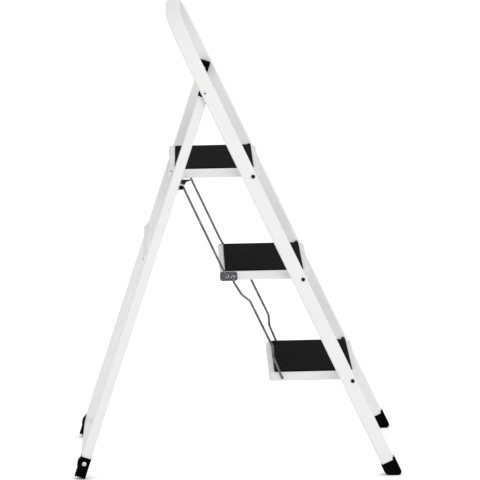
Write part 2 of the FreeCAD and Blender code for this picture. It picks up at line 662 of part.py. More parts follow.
def build_rear_bars():
    """Round bar between the feet, flat brace half-way up, and what fastens them."""
    bar = cylinder_y("lower_bar_outer", "Sizes.bar_diameter / 2", f"2 * ({LEG_INNER})",
                     BAR.x, -leg_inner, BAR.z)
    bore = cylinder_y("lower_bar_bore", "Sizes.bar_bore / 2", f"2 * ({LEG_INNER} + Sizes.leg_width)",
                      BAR.x, -leg_outer, BAR.z)
    register(cut("lower_bar", bar, bore), "lower_cross_bar")
    plugs, screws, bolts = [], [], []
    foot_outer = leg_outer + size("rear_foot_wall")
    for side, sign in SIDES.items():
        depth = size("screw_depth")
        start = leg_inner - depth if sign > 0 else -leg_inner
        plugs.append(ring(f"bar_plug_{side}", "Sizes.bar_bore / 2 - Sizes.running_gap",
                          "Sizes.screw_diameter / 2 + Sizes.running_gap", depth, BAR, start))
        screw_end = leg_inner - depth + size("screw_diameter") * 0.4
        screws.append(bolt_along_y(f"foot_screw_{side}", BAR, sign, screw_end, foot_outer,
                                   "screw_diameter", "screw_head_diameter", "screw_head_height"))
        bolts.append(brace_bolt(f"brace_bolt_{side}", sign * leg_centre, BRACE_STATION))
    group("lower_bar_plugs", plugs)
    group("rear_foot_screws", screws)
    brace = leg_block("brace_strip", "Sizes.brace_thickness", f"2 * ({LEG_INNER} + Sizes.leg_width)",
                      "Sizes.brace_width", -leg_half - size("brace_thickness"), -leg_outer,
                      BRACE_STATION - size("brace_width") / 2)
    brace = round_edges("brace_rounded", brace, size("brace_corner"),
                        lambda edge: is_along(edge, LEG_TURN.multVec(X_AXIS)))
    holes = []
    for side, sign in SIDES.items():
        hole = bind(doc.addObject("Part::Cylinder", f"brace_hole_{side}"),
                    Radius="Sizes.brace_bolt_diameter / 2 + Sizes.fit_gap",
                    Height="3 * Sizes.brace_thickness")
        place = leg_point(PIVOT, -leg_half - 2 * size("brace_thickness"), BRACE_STATION)
        place.y = sign * leg_centre
        hole.Placement = Placement(place, LEG_TURN.multiply(Rotation(Y_AXIS, 90)))
        holes.append(hole)
    register(cut("brace", brace, *holes), "mid_cross_brace")
    group("mid_brace_bolts", bolts)


def brace_bolt(name, y, station):
    """Bolt from behind through the brace and the leg."""
    along = LEG_TURN.multiply(Rotation(Y_AXIS, 90))
    back = -leg_half - size("brace_thickness")
    place = leg_point(PIVOT, back, station)
    place.y = y
    shank = bind(doc.addObject("Part::Cylinder", name + "_shank"), Radius="Sizes.brace_bolt_diameter / 2",
                 Height="Sizes.leg_depth + Sizes.brace_thickness")
    shank.Placement = Placement(place, along)
    place = leg_point(PIVOT, back - size("brace_head_height"), station)
    place.y = y
    head = bind(doc.addObject("Part::Cylinder", name + "_head"), Radius="Sizes.brace_head_diameter / 2",
                Height="Sizes.brace_head_height")
    head.Placement = Placement(place, along)
    return fuse(name, shank, head)


def build_rest_pegs():
    """Pegs welded to the fronts of the rear legs, on which the platform's hooks rest."""
    pegs, caps = [], []
    length = leg_outer - peg_inner_end
    for side, sign in SIDES.items():
        start = peg_inner_end if sign > 0 else -leg_outer
        pegs.append(ring(f"peg_{side}", "Sizes.peg_diameter / 2", "Sizes.peg_bore / 2", length, PEG, start))
        plug_start = leg_outer - size("peg_plug_length") if sign > 0 else -leg_outer
        plug = cylinder_y(f"peg_cap_{side}_plug", "Sizes.peg_bore / 2 - Sizes.running_gap",
                          "Sizes.peg_plug_length", PEG.x, plug_start, PEG.z)
        disc = round_head(f"peg_cap_{side}_disc", "peg_diameter", "peg_cap_thickness", PEG.x,
                          sign * leg_outer, PEG.z, sign)
        caps.append(fuse(f"peg_cap_{side}", plug, disc))
    group("rest_pegs", pegs)
    group("rest_peg_caps", caps)


# ---------------------------------------------------------------- steps
LINKS_AT = {"top": ["upper"], "middle": ["upper", "lower"], "bottom": ["lower"]}


def pin_offset(kind):
    """A link pin's place behind and below the axis of its step, as (x, z)."""
    return size(f"{kind}_pin_inset") - size("pan_back"), -size(f"{kind}_pin_drop")


def build_pan(step, axis):
    """Pressed steel tread: flat top, rounded edge, skirt all round with a hem turned inwards."""
    body = doc.addObject("PartDesign::Body", f"pan_{step}")
    middle = (size("pan_nose") - size("pan_back")) / 2
    base = size("pan_over_axis") - size("pan_height")
    outline = new_sketch(body, f"pan_outline_{step}", "XY_Plane", Vector(middle, 0, base))
    rounded_rectangle(outline, "Sizes.pan_back + Sizes.pan_nose", "Sizes.pan_length", "Sizes.pan_corner")
    pad = body.newObject("PartDesign::Pad", f"pan_pad_{step}")
    pad.Profile = outline
    pad.setExpression("Length", "Sizes.pan_height")
    doc.recompute()
    top = size("pan_over_axis")
    edges = [f"Edge{n}" for n, edge in enumerate(pad.Shape.Edges, start=1)
             if edge.BoundBox.ZMin > top - 1e-4]
    fillet = body.newObject("PartDesign::Fillet", f"pan_edge_{step}")
    fillet.Base = (pad, edges)
    fillet.setExpression("Radius", "Sizes.pan_edge")
    doc.recompute()
    for name, inset, level, depth in [
            ("hollow", "pan_wall", base + size("pan_wall"), "Sizes.pan_height - 2 * Sizes.pan_wall"),
            ("mouth", "pan_hem", base, "Sizes.pan_wall")]:
        sketch = new_sketch(body, f"pan_{name}_outline_{step}", "XY_Plane", Vector(middle, 0, level))
        rounded_rectangle(sketch, f"Sizes.pan_back + Sizes.pan_nose - 2 * Sizes.{inset}",
                          f"Sizes.pan_length - 2 * Sizes.{inset}", f"Sizes.pan_corner - Sizes.{inset}")
        pocket = body.newObject("PartDesign::Pocket", f"pan_{name}_{step}")
        pocket.Profile = sketch
        pocket.Reversed = True
        pocket.setExpression("Length", depth)
        doc.recompute()
    holes = [(0, 0, "bolt_diameter", "running_gap")]
    holes += [(*pin_offset(kind), "wire_diameter", "running_gap") for kind in LINKS_AT[step]]
    drill(body, f"pan_holes_{step}", "XZ_Plane", holes)
    body.Placement = Placement(axis, Rotation())
    return register(body, f"step_{step}_pan")


def build_mat(step, axis):
    """Rubber mat on the pan's top."""
    corner = Vector(axis.x - size("pan_back") + size("mat_rear_inset"), -pan_side + size("mat_side_inset"),
                    axis.z + size("pan_over_axis"))
    mat = box(f"mat_{step}", "Sizes.pan_back - Sizes.mat_rear_inset + Sizes.mat_nose",
              "Sizes.pan_length - 2 * Sizes.mat_side_inset", "Sizes.mat_thickness", corner)
    mat = round_edges(f"mat_{step}_rounded", mat, size("mat_corner"), lambda edge: is_along(edge, Z_AXIS))
    return register(mat, f"step_{step}_mat")


def build_hook(side, sign):
    """Angle plate on the platform's rear corner; its side leg hooks over the rest peg."""
    axis = STEP_AXES["top"]
    thickness, below = size("hook_thickness"), size("hook_below_peg")
    back = axis.x - size("pan_back") - thickness
    top = axis.z + size("hook_flange_height") / 2
    web_front, beak_front, beak_top, beak_depth = PEG.x + 7.0, PEG.x + 20.0, axis.z - 11.0, 2.5
    outline = [(back, top), (web_front, top), (web_front, beak_top + 1), (beak_front, beak_top),
               (beak_front, beak_top - beak_depth), (PEG.x + below + 2, PEG.z + below - 0.5),
               (PEG.x + 5, PEG.z - 1), (PEG.x - 4, PEG.z - below), (PEG.x - below - 2, PEG.z - below),
               (back, PEG.z + below + 1)]
    inner = hook_inner if sign > 0 else -hook_inner - thickness
    plate = extrude_outline(f"hook_{side}_plate", polygon(outline), thickness, inner)
    slot_radius = size("peg_diameter") / 2 + size("side_gap")
    seat = cylinder_y(f"hook_{side}_seat", "Sizes.peg_diameter / 2 + Sizes.side_gap",
                      "3 * Sizes.hook_thickness", PEG.x, inner - thickness, PEG.z)
    mouth = box(f"hook_{side}_mouth", "4 * Sizes.peg_diameter", "3 * Sizes.hook_thickness",
                "Sizes.peg_diameter + 2 * Sizes.side_gap", Vector())
    turn = Rotation(Y_AXIS, size("hook_mouth_angle"))
    corner = Vector(PEG.x, inner - thickness, PEG.z) + turn.multVec(Vector(0, 0, -slot_radius))
    mouth.Placement = Placement(corner, turn)
    flange_start = hook_inner + thickness - size("hook_flange")
    flange = box(f"hook_{side}_flange", "Sizes.hook_thickness", "Sizes.hook_flange",
                 "Sizes.hook_flange_height",
                 Vector(back, flange_start if sign > 0 else -hook_inner - thickness,
                        top - size("hook_flange_height")))
    plate = cut(f"hook_{side}_open", plate, seat, mouth)
    return register(fuse(f"hook_{side}", plate, flange), f"platform_hook_{side}")


def build_middle_bracket(side, sign):
    """Zinc plate on the middle step's rear corner, where the upper and lower links meet."""
    axis = STEP_AXES["middle"]
    start = pan_side if sign > 0 else -pan_side - size("bracket_thickness")
    plate = box(f"bracket_{side}", "Sizes.bracket_length", "Sizes.bracket_thickness", "Sizes.bracket_height",
                Vector(axis.x - size("pan_back"), start,
                       axis.z + size("pan_over_axis") - size("bracket_height")))
    plate = round_edges(f"bracket_{side}_rounded", plate, size("bracket_corner"),
                        lambda edge: is_along(edge, Y_AXIS))
    holes = []
    for kind in LINKS_AT["middle"]:
        x, z = pin_offset(kind)
        holes.append(cylinder_y(f"bracket_{side}_{kind}_hole", "Sizes.wire_diameter / 2 + Sizes.running_gap",
                                "3 * Sizes.bracket_thickness", axis.x + x, start - size("bracket_thickness"),
                                axis.z + z))
    return register(cut(f"bracket_{side}", plate, *holes), f"middle_bracket_{side}")


# ---------------------------------------------------------------- links
def bent_wire(points, bends, radius):
    """Round wire along straight runs joined by tangent arcs, one bend radius for each inner point."""
    edges = []
    start = points[0]
    for before, point, after, bend in zip(points, points[1:], points[2:], bends):
        towards_back = (before - point).normalize()
        towards_next = (after - point).normalize()
        half_angle = towards_back.getAngle(towards_next) / 2
        trim = bend / math.tan(half_angle)
        first, last = point + towards_back * trim, point + towards_next * trim
        bisector = (towards_back + towards_next).normalize()
        middle = point + bisector * (bend / math.sin(half_angle) - bend)
        edges.append(Part.LineSegment(start, first).toShape())
        edges.append(Part.Arc(first, middle, last).toShape())
        start = last
    edges.append(Part.LineSegment(start, points[-1]).toShape())
    path = Part.Wire(edges)
    profile = Part.Wire(Part.makeCircle(radius, points[0], (points[1] - points[0])))
    return path.makePipeShell([profile], True, False)


def link_runs(kind, run):
    """Inner corners of a link and their bend radii, from its upper pin (0, 0) to its lower pin run.

    The first corners keep their place below the upper pin and the last ones theirs above the lower
    pin; the straight run between them takes up any change in the rise of the steps.
    """
    if kind == "upper":
        return [(14.0, -31.0), (run.x - 11.8, run.z + 22.0)], [60.0, 60.0]
    corners = [(1.5, -10.0), (18.5, -38.5), (36.5, -53.0), (run.x - 20.5, run.z + 72.0),
               (run.x - 19.0, run.z + 47.0)]
    return corners, [12.0, 14.0, 14.0, 14.0, 20.0]


def build_link(kind, side, sign, top_axis, low_axis):
    """Bent wire between two steps; both ends turn inwards and pass through the pans' skirts."""
    x, z = pin_offset(kind)
    upper = top_axis + Vector(x, 0, z)
    lower = low_axis + Vector(x, 0, z)
    corners, radii = link_runs(kind, lower - upper)
    plane = sign * wire_plane
    end_beyond_clip = 2.0
    inside = sign * (skirt_inner - size("side_gap") - size("clip_thickness") - end_beyond_clip)
    route = [Vector(upper.x, inside, upper.z), Vector(upper.x, plane, upper.z)]
    route += [Vector(upper.x + x, plane, upper.z + z) for x, z in corners]
    route += [Vector(lower.x, plane, lower.z), Vector(lower.x, inside, lower.z)]
    bend = size("wire_bend")
    wire = doc.addObject("Part::Feature", f"{kind}_link_{side}_wire")
    wire.Shape = bent_wire(route, [bend] + radii + [bend], size("wire_diameter") / 2)
    clips = []
    for end, pin in (("top", upper), ("low", lower)):
        outer = skirt_inner - size("side_gap")
        start = outer - size("clip_thickness") if sign > 0 else -outer
        clips.append(ring(f"{kind}_clip_{side}_{end}", "Sizes.clip_diameter / 2",
                          "Sizes.wire_diameter / 2 + Sizes.running_gap", size("clip_thickness"), pin, start))
    register(wire, f"{kind}_link_{side}")
    return clips


# ---------------------------------------------------------------- assembly and export
def build_stool():
    """Make every sub-part in the order of assembly."""
    build_frame_tube()
    for side, sign in SIDES.items():
        build_front_foot(side, sign)
    build_frame_pivots()
    build_step_pivots()
    for side, sign in SIDES.items():
        build_rear_leg(side, sign)
        build_top_cap(side, sign)
        build_rear_foot(side, sign)
    build_rear_bars()
    build_rest_pegs()
    for step, axis in STEP_AXES.items():
        build_pan(step, axis)
        build_mat(step, axis)
    for side, sign in SIDES.items():
        build_hook(side, sign)
        build_middle_bracket(side, sign)
    for kind, top, low in (("upper", "top", "middle"), ("lower", "middle", "bottom")):
        clips = []
        for side, sign in SIDES.items():
            clips += build_link(kind, side, sign, STEP_AXES[top], STEP_AXES[low])
        group(f"{kind}_link_clips", clips)


def check_and_export():
    """Stop on any failed object or bad shape, then write one STEP file for each sub-part."""
    doc.recompute()
    for obj in doc.Objects:
        if "Invalid" in obj.State or "Error" in obj.State:
            raise RuntimeError(f"{obj.Name} did not build: {obj.State}")
    for obj in NODES:
        if obj.Shape.isNull() or not obj.Shape.isValid() or not obj.Shape.Solids:
            raise RuntimeError(f"{obj.Label} has no valid solid")
    os.makedirs("parts", exist_ok=True)
    for obj in NODES:
        obj.Shape.exportStep(os.path.join("parts", obj.Label + ".step"))
        print(f"{obj.Label}: {len(obj.Shape.Solids)} solid(s), {obj.Shape.Volume:.1f} mm3")


build_stool()
check_and_export()
print("frame pivot", PIVOT, "peg", PEG, "bar", BAR)
for name, axis in STEP_AXES.items():
    print(name, "step axis", axis)
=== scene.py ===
"""Studio scene of a folding step stool: finishes, rubber treads, fasteners, welds, light, view.

Everything is in metres, in the frame of the mechanical model: +X is the climbing side, +Y is the
user's left-hand side and +Z is up.
"""

import logging
import math
from dataclasses import dataclass, field
from enum import Enum
from typing import Sequence

import bpy
import numpy as np
from mathutils import Matrix, Vector


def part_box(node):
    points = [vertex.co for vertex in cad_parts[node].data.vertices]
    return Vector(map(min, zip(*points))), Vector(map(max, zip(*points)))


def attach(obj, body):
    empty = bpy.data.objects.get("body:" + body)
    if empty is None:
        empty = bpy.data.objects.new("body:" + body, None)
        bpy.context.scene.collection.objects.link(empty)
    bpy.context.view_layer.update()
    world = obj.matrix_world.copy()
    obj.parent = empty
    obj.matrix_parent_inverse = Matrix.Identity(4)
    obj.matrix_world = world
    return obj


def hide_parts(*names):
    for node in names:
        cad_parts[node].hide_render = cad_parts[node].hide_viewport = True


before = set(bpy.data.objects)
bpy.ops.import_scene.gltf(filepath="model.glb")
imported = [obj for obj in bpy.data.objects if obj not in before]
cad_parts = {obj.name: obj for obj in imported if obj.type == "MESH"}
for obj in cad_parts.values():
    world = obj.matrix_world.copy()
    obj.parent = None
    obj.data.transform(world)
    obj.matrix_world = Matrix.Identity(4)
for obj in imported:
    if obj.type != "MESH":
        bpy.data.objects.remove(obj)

LOG = logging.getLogger("step_stool")
MM = 0.001
Colour = tuple[float, float, float]
Socket = bpy.types.NodeSocket


class Side(Enum):
    """The two sides of the stool, with the sign of their Y."""

    LEFT = 1
    RIGHT = -1


class StepName(Enum):
    """The three steps, from the floor up."""

    BOTTOM = "bottom"
    MIDDLE = "middle"
    TOP = "top"


# ------------------------------------------------------------------------------ finishes
class Graph:
    """One material's node tree, with a Principled shader and Object coordinates to build on."""

    def __init__(self, name: str) -> None:
        """Start an empty material.

        Args:
            name: The material's name.
        """
        self.material = bpy.data.materials.new(name)
        self.material.use_nodes = True
        self.tree = self.material.node_tree
        self.tree.nodes.clear()
        output = self.tree.nodes.new("ShaderNodeOutputMaterial")
        self.shader = self.tree.nodes.new("ShaderNodeBsdfPrincipled")
        self.tree.links.new(self.shader.outputs["BSDF"], output.inputs["Surface"])
        self.place = self.tree.nodes.new("ShaderNodeTexCoord").outputs["Object"]

    def stretched(self, scale: Colour) -> Socket:
        """Object coordinates scaled separately along X, Y and Z.

        Args:
            scale: Multiplier for each axis.

        Returns:
            The scaled coordinates.
        """
        mapping = self.tree.nodes.new("ShaderNodeMapping")
        mapping.inputs["Scale"].default_value = scale
        self.tree.links.new(self.place, mapping.inputs["Vector"])
        return mapping.outputs["Vector"]

    def noise(self, scale: float, detail: float = 2.0, stretch: Colour = (1.0, 1.0, 1.0)) -> Socket:
        """Noise from 0 to 1.

        Args:
            scale: Cells to the metre.
            detail: Number of finer layers.
            stretch: Multiplier for each axis.

        Returns:
            The noise value.
        """
        node = self.tree.nodes.new("ShaderNodeTexNoise")
        node.inputs["Scale"].default_value = scale
        node.inputs["Detail"].default_value = detail
        self.tree.links.new(self.stretched(stretch), node.inputs["Vector"])
        return node.outputs["Fac"]

    def cells(self, scale: float) -> Socket:
        """Distance to the middle of the nearest of many small cells.

        Args:
            scale: Cells to the metre.

        Returns:
            The distance value.
        """
        node = self.tree.nodes.new("ShaderNodeTexVoronoi")
        node.inputs["Scale"].default_value = scale
        self.tree.links.new(self.place, node.inputs["Vector"])
        return node.outputs["Distance"]

    def span(self, value: Socket, low: float, high: float) -> Socket:
        """The middle of a noise's range spread from low to high.

        Args:
            value: Noise from 0 to 1.
            low: Result where the noise is weakest.
            high: Result where it is strongest.

        Returns:
            The spread value.
        """
        node = self.tree.nodes.new("ShaderNodeMapRange")
        for name, number in (("From Min", 0.3), ("From Max", 0.7), ("To Min", low), ("To Max", high)):
            node.inputs[name].default_value = number
        self.tree.links.new(value, node.inputs["Value"])
        return node.outputs["Result"]

    def compare(self, operation: str, value: Socket, edge: float) -> Socket:
        """1 where a value is on one side of an edge, and 0 elsewhere.

        Args:
            operation: GREATER_THAN or LESS_THAN.
            value: The value to compare.
            edge: What it is compared with.

        Returns:
            The result, 0 or 1.
        """
        node = self.tree.nodes.new("ShaderNodeMath")
        node.operation = operation
        node.inputs[1].default_value = edge
        self.tree.links.new(value, node.inputs[0])
        return node.outputs["Value"]

    def colour(self, value: Socket, dark: Colour, light: Colour) -> None:
        """Base colour between two colours.

        Args:
            value: Factor from 0 to 1.
            dark: Colour at 0.
            light: Colour at 1.
        """
        node = self.tree.nodes.new("ShaderNodeMix")
        node.data_type = "RGBA"
        factor, first, second = node.inputs[0], node.inputs[6], node.inputs[7]
        first.default_value = (*dark, 1.0)
        second.default_value = (*light, 1.0)
        self.tree.links.new(value, factor)
        self.tree.links.new(node.outputs[2], self.shader.inputs["Base Color"])

    def roughness(self, value: Socket) -> None:
        """Roughness from a value."""
        self.tree.links.new(value, self.shader.inputs["Roughness"])

    def bump(self, height: Socket, depth: float, strength: float) -> None:
        """Surface relief.

        Args:
            height: Relief from 0 to 1.
            depth: Depth of the relief in metres.
            strength: Share of the relief that shows.
        """
        node = self.tree.nodes.new("ShaderNodeBump")
        node.inputs["Distance"].default_value = depth
        node.inputs["Strength"].default_value = strength
        self.tree.links.new(height, node.inputs["Height"])
        self.tree.links.new(node.outputs["Normal"], self.shader.inputs["Normal"])

    def constant(self, **values: float) -> None:
        """Set the shader's own sockets; an underscore in a name stands for a space."""
        for name, number in values.items():
            self.shader.inputs[name.replace("_", " ")].default_value = number


@dataclass(frozen=True)
class PowderCoat:
    """White powder coat on steel: faint orange peel and hardly any change of tone."""

    name: str = "white_powder_coat"
    dark: Colour = (0.834, 0.834, 0.832)
    light: Colour = (0.850, 0.850, 0.848)
    tone_scale: float = 14.0
    stretch: Colour = (1.0, 1.0, 1.0)
    peel_scale: float = 900.0
    peel_depth: float = 0.00002

    def build(self) -> bpy.types.Material:
        """The finish as a material."""
        graph = Graph(self.name)
        tone = graph.span(graph.noise(self.tone_scale, 3.0, self.stretch), 0.0, 1.0)
        graph.colour(tone, self.dark, self.light)
        graph.roughness(graph.span(graph.noise(60.0), 0.40, 0.50))
        graph.bump(graph.noise(self.peel_scale), self.peel_depth, 0.6)
        graph.constant(Specular_IOR_Level=0.3)
        return graph.material


@dataclass(frozen=True)
class MouldedPlastic:
    """Black moulded plastic with a fine matt grain."""

    name: str = "black_moulded_plastic"
    dark: Colour = (0.0004, 0.0004, 0.0005)
    light: Colour = (0.0012, 0.0012, 0.0013)
    grain_scale: float = 1400.0
    grain_depth: float = 0.00004
    specular: float = 0.03

    def build(self) -> bpy.types.Material:
        """The finish as a material."""
        graph = Graph(self.name)
        graph.colour(graph.span(graph.noise(40.0, 4.0), 0.0, 1.0), self.dark, self.light)
        graph.roughness(graph.span(graph.noise(220.0), 0.42, 0.58))
        graph.bump(graph.noise(self.grain_scale), self.grain_depth, 0.5)
        graph.constant(Specular_IOR_Level=self.specular)
        return graph.material


@dataclass(frozen=True)
class TreadRubber:
    """Charcoal rubber, mottled and matt."""

    name: str = "black_tread_rubber"
    dark: Colour = (0.0036, 0.0037, 0.0039)
    light: Colour = (0.0066, 0.0067, 0.0070)
    mottle_scale: float = 55.0
    grain_scale: float = 1100.0
    grain_depth: float = 0.00006

    def build(self) -> bpy.types.Material:
        """The finish as a material."""
        graph = Graph(self.name)
        graph.colour(graph.span(graph.noise(self.mottle_scale, 5.0), 0.0, 1.0), self.dark, self.light)
        graph.roughness(graph.span(graph.noise(150.0), 0.80, 0.95))
        graph.bump(graph.noise(self.grain_scale, 3.0), self.grain_depth, 0.6)
        graph.constant(Specular_IOR_Level=0.04)
        return graph.material


@dataclass(frozen=True)
class BlackSteel:
    """Black stoved enamel on steel plate and fasteners."""

    name: str = "black_steel"
    dark: Colour = (0.0035, 0.0035, 0.0038)
    light: Colour = (0.0065, 0.0065, 0.0070)
    speck_scale: float = 600.0
    speck_depth: float = 0.00003

    def build(self) -> bpy.types.Material:
        """The finish as a material."""
        graph = Graph(self.name)
        graph.colour(graph.span(graph.noise(90.0, 3.0), 0.0, 1.0), self.dark, self.light)
        graph.roughness(graph.span(graph.noise(180.0), 0.30, 0.45))
        graph.bump(graph.noise(self.speck_scale), self.speck_depth, 0.4)
        graph.constant(Specular_IOR_Level=0.25)
        return graph.material


@dataclass(frozen=True)
class DippedHook:
    """White powder coat with the hooked end dipped in black plastic."""

    edge_x: float
    edge_z: float
    name: str = "dipped_hook"
    white: Colour = (0.84, 0.84, 0.838)
    black: Colour = (0.0045, 0.0045, 0.0048)
    tone_scale: float = 60.0
    skin_scale: float = 700.0
    skin_depth: float = 0.00003

    def build(self) -> bpy.types.Material:
        """The finish as a material: black in front of one upright line and below one level."""
        graph = Graph(self.name)
        parts = graph.tree.nodes.new("ShaderNodeSeparateXYZ")
        graph.tree.links.new(graph.place, parts.inputs["Vector"])
        front = graph.compare("GREATER_THAN", parts.outputs["X"], self.edge_x)
        below = graph.compare("LESS_THAN", parts.outputs["Z"], self.edge_z)
        dipped = graph.tree.nodes.new("ShaderNodeMath")
        dipped.operation = "MULTIPLY"
        graph.tree.links.new(front, dipped.inputs[0])
        graph.tree.links.new(below, dipped.inputs[1])
        graph.colour(dipped.outputs["Value"], self.white, self.black)
        graph.roughness(graph.span(graph.noise(self.tone_scale, 3.0), 0.32, 0.50))
        graph.bump(graph.noise(self.skin_scale), self.skin_depth, 0.5)
        graph.constant(Specular_IOR_Level=0.25)
        return graph.material


@dataclass(frozen=True)
class ZincPlate:
    """Zinc-plated steel, cloudy and slightly spangled."""

    name: str = "zinc_plate"
    dark: Colour = (0.022, 0.022, 0.024)
    light: Colour = (0.17, 0.172, 0.178)
    cloud_scale: float = 190.0
    spangle_scale: float = 320.0
    spangle_depth: float = 0.00003

    def build(self) -> bpy.types.Material:
        """The finish as a material."""
        graph = Graph(self.name)
        graph.colour(graph.span(graph.noise(self.cloud_scale, 4.0), 0.0, 1.0), self.dark, self.light)
        graph.roughness(graph.span(graph.noise(200.0), 0.28, 0.45))
        graph.bump(graph.cells(self.spangle_scale), self.spangle_depth, 0.4)
        graph.constant(Metallic=1.0)
        return graph.material


@dataclass(frozen=True)
class DrawnWire:
    """Dark drawn steel wire with fine lines along its length."""

    name: str = "drawn_wire"
    dark: Colour = (0.085, 0.085, 0.088)
    light: Colour = (0.21, 0.21, 0.214)
    line_scale: float = 500.0
    line_stretch: Colour = (1.0, 1.0, 0.06)
    line_depth: float = 0.00002

    def build(self) -> bpy.types.Material:
        """The finish as a material."""
        graph = Graph(self.name)
        lines = graph.noise(self.line_scale, 2.0, self.line_stretch)
        graph.colour(graph.span(graph.noise(70.0, 3.0), 0.0, 1.0), self.dark, self.light)
        graph.roughness(graph.span(lines, 0.18, 0.30))
        graph.bump(lines, self.line_depth, 0.5)
        graph.constant(Metallic=1.0)
        return graph.material


@dataclass
class Finishes:
    """Every finish of the stool, each made once."""

    frame_white: bpy.types.Material = field(default_factory=lambda: PowderCoat().build())
    pan_white: bpy.types.Material = field(default_factory=lambda: PowderCoat(
        name="white_powder_coat_pan", dark=(0.77, 0.77, 0.767), light=(0.83, 0.83, 0.828),
        stretch=(1.0, 1.0, 6.0)).build())
    plastic: bpy.types.Material = field(default_factory=lambda: MouldedPlastic().build())
    rubber: bpy.types.Material = field(default_factory=lambda: TreadRubber().build())
    black_steel: bpy.types.Material = field(default_factory=lambda: BlackSteel().build())
    zinc: bpy.types.Material = field(default_factory=lambda: ZincPlate().build())
    # Bright zinc on nuts, screws and clips; on the washers at the middle pins it also carries a painted
    # highlight.
    bright_zinc: bpy.types.Material = field(default_factory=lambda: ZincPlate(
        name="bright_zinc", dark=(0.62, 0.62, 0.63), light=(0.80, 0.80, 0.81)).build())
    wire: bpy.types.Material = field(default_factory=lambda: DrawnWire().build())


# ------------------------------------------------------------------------------ surfaces
def mesh_object(name: str, points: np.ndarray, quads: np.ndarray,
                extra: Sequence[Sequence[int]] = ()) -> bpy.types.Object:
    """A mesh in the scene from whole arrays.

    Args:
        name: Name of the object and its mesh.
        points: Vertices, one row of x, y, z each.
        quads: Faces, one row of four vertex numbers each.
        extra: Further faces with any number of corners.

    Returns:
        The new object, at the origin.
    """
    mesh = bpy.data.meshes.new(name)
    mesh.from_pydata(points.tolist(), [], quads.tolist() + [list(face) for face in extra])
    mesh.polygons.foreach_set("use_smooth", np.ones(len(mesh.polygons), dtype=bool))
    mesh.set_sharp_from_angle(angle=math.radians(35))
    mesh.update()
    obj = bpy.data.objects.new(name, mesh)
    bpy.context.scene.collection.objects.link(obj)
    return obj


def place_piece(obj: bpy.types.Object, material: bpy.types.Material, body: str) -> None:
    """Finish a new piece and let it ride on a body.

    Args:
        obj: The piece.
        material: Its finish.
        body: The body it moves with.
    """
    obj.data.materials.append(material)
    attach(obj, body)
    LOG.info("%s: %d faces on %s", obj.name, len(obj.data.polygons), body)


def dress(material: bpy.types.Material, *nodes: str) -> None:
    """Give mechanical nodes their finish.

    Args:
        material: The finish.
        nodes: Names of the nodes.
    """
    for name in nodes:
        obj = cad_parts[name]
        if not obj.material_slots:
            obj.data.materials.append(material)
        for slot in obj.material_slots:
            slot.material = material
        LOG.info("%s: %s", name, material.name)


def ring_quads(rows: int, columns: int, first: int = 0) -> np.ndarray:
    """Faces between neighbouring rings of vertices, each ring closed on itself.

    Args:
        rows: Number of rings.
        columns: Vertices in a ring.
        first: Number of the first ring's first vertex.

    Returns:
        Four vertex numbers for each face.
    """
    row, column = np.meshgrid(np.arange(rows - 1), np.arange(columns), indexing="ij")
    after = (column + 1) % columns
    quads = np.stack([row * columns + column, row * columns + after,
                      (row + 1) * columns + after, (row + 1) * columns + column], axis=-1)
    return quads.reshape(-1, 4) + first


def turned(name: str, radii: np.ndarray, along: np.ndarray, seat: Vector,
           outward: Vector) -> bpy.types.Object:
    """Solid of revolution about a line, which may be out of round.

    A vertex lies at seat + along * outward + radius * (cos(angle) * side + sin(angle) * up), where the
    angle goes once round in equal parts, and side and up are square to outward. The two ends are
    closed by one face each.

    Args:
        name: Name of the object.
        radii: Radius for each station and each angle.
        along: Distance along the line for each station, increasing.
        seat: Point on the line from which along is measured.
        outward: Unit vector along the line.

    Returns:
        The new object.
    """
    rows, columns = radii.shape
    angle = np.linspace(0.0, 2.0 * math.pi, columns, endpoint=False)
    side = outward.orthogonal().normalized()
    up = outward.cross(side)
    offset = np.cos(angle)[:, None] * np.array(side) + np.sin(angle)[:, None] * np.array(up)
    points = np.array(seat) + along[:, None, None] * np.array(outward) + radii[:, :, None] * offset[None]
    start = list(range(columns))[::-1]
    end = list(range((rows - 1) * columns, rows * columns))
    return mesh_object(name, points.reshape(-1, 3), ring_quads(rows, columns), [start, end])


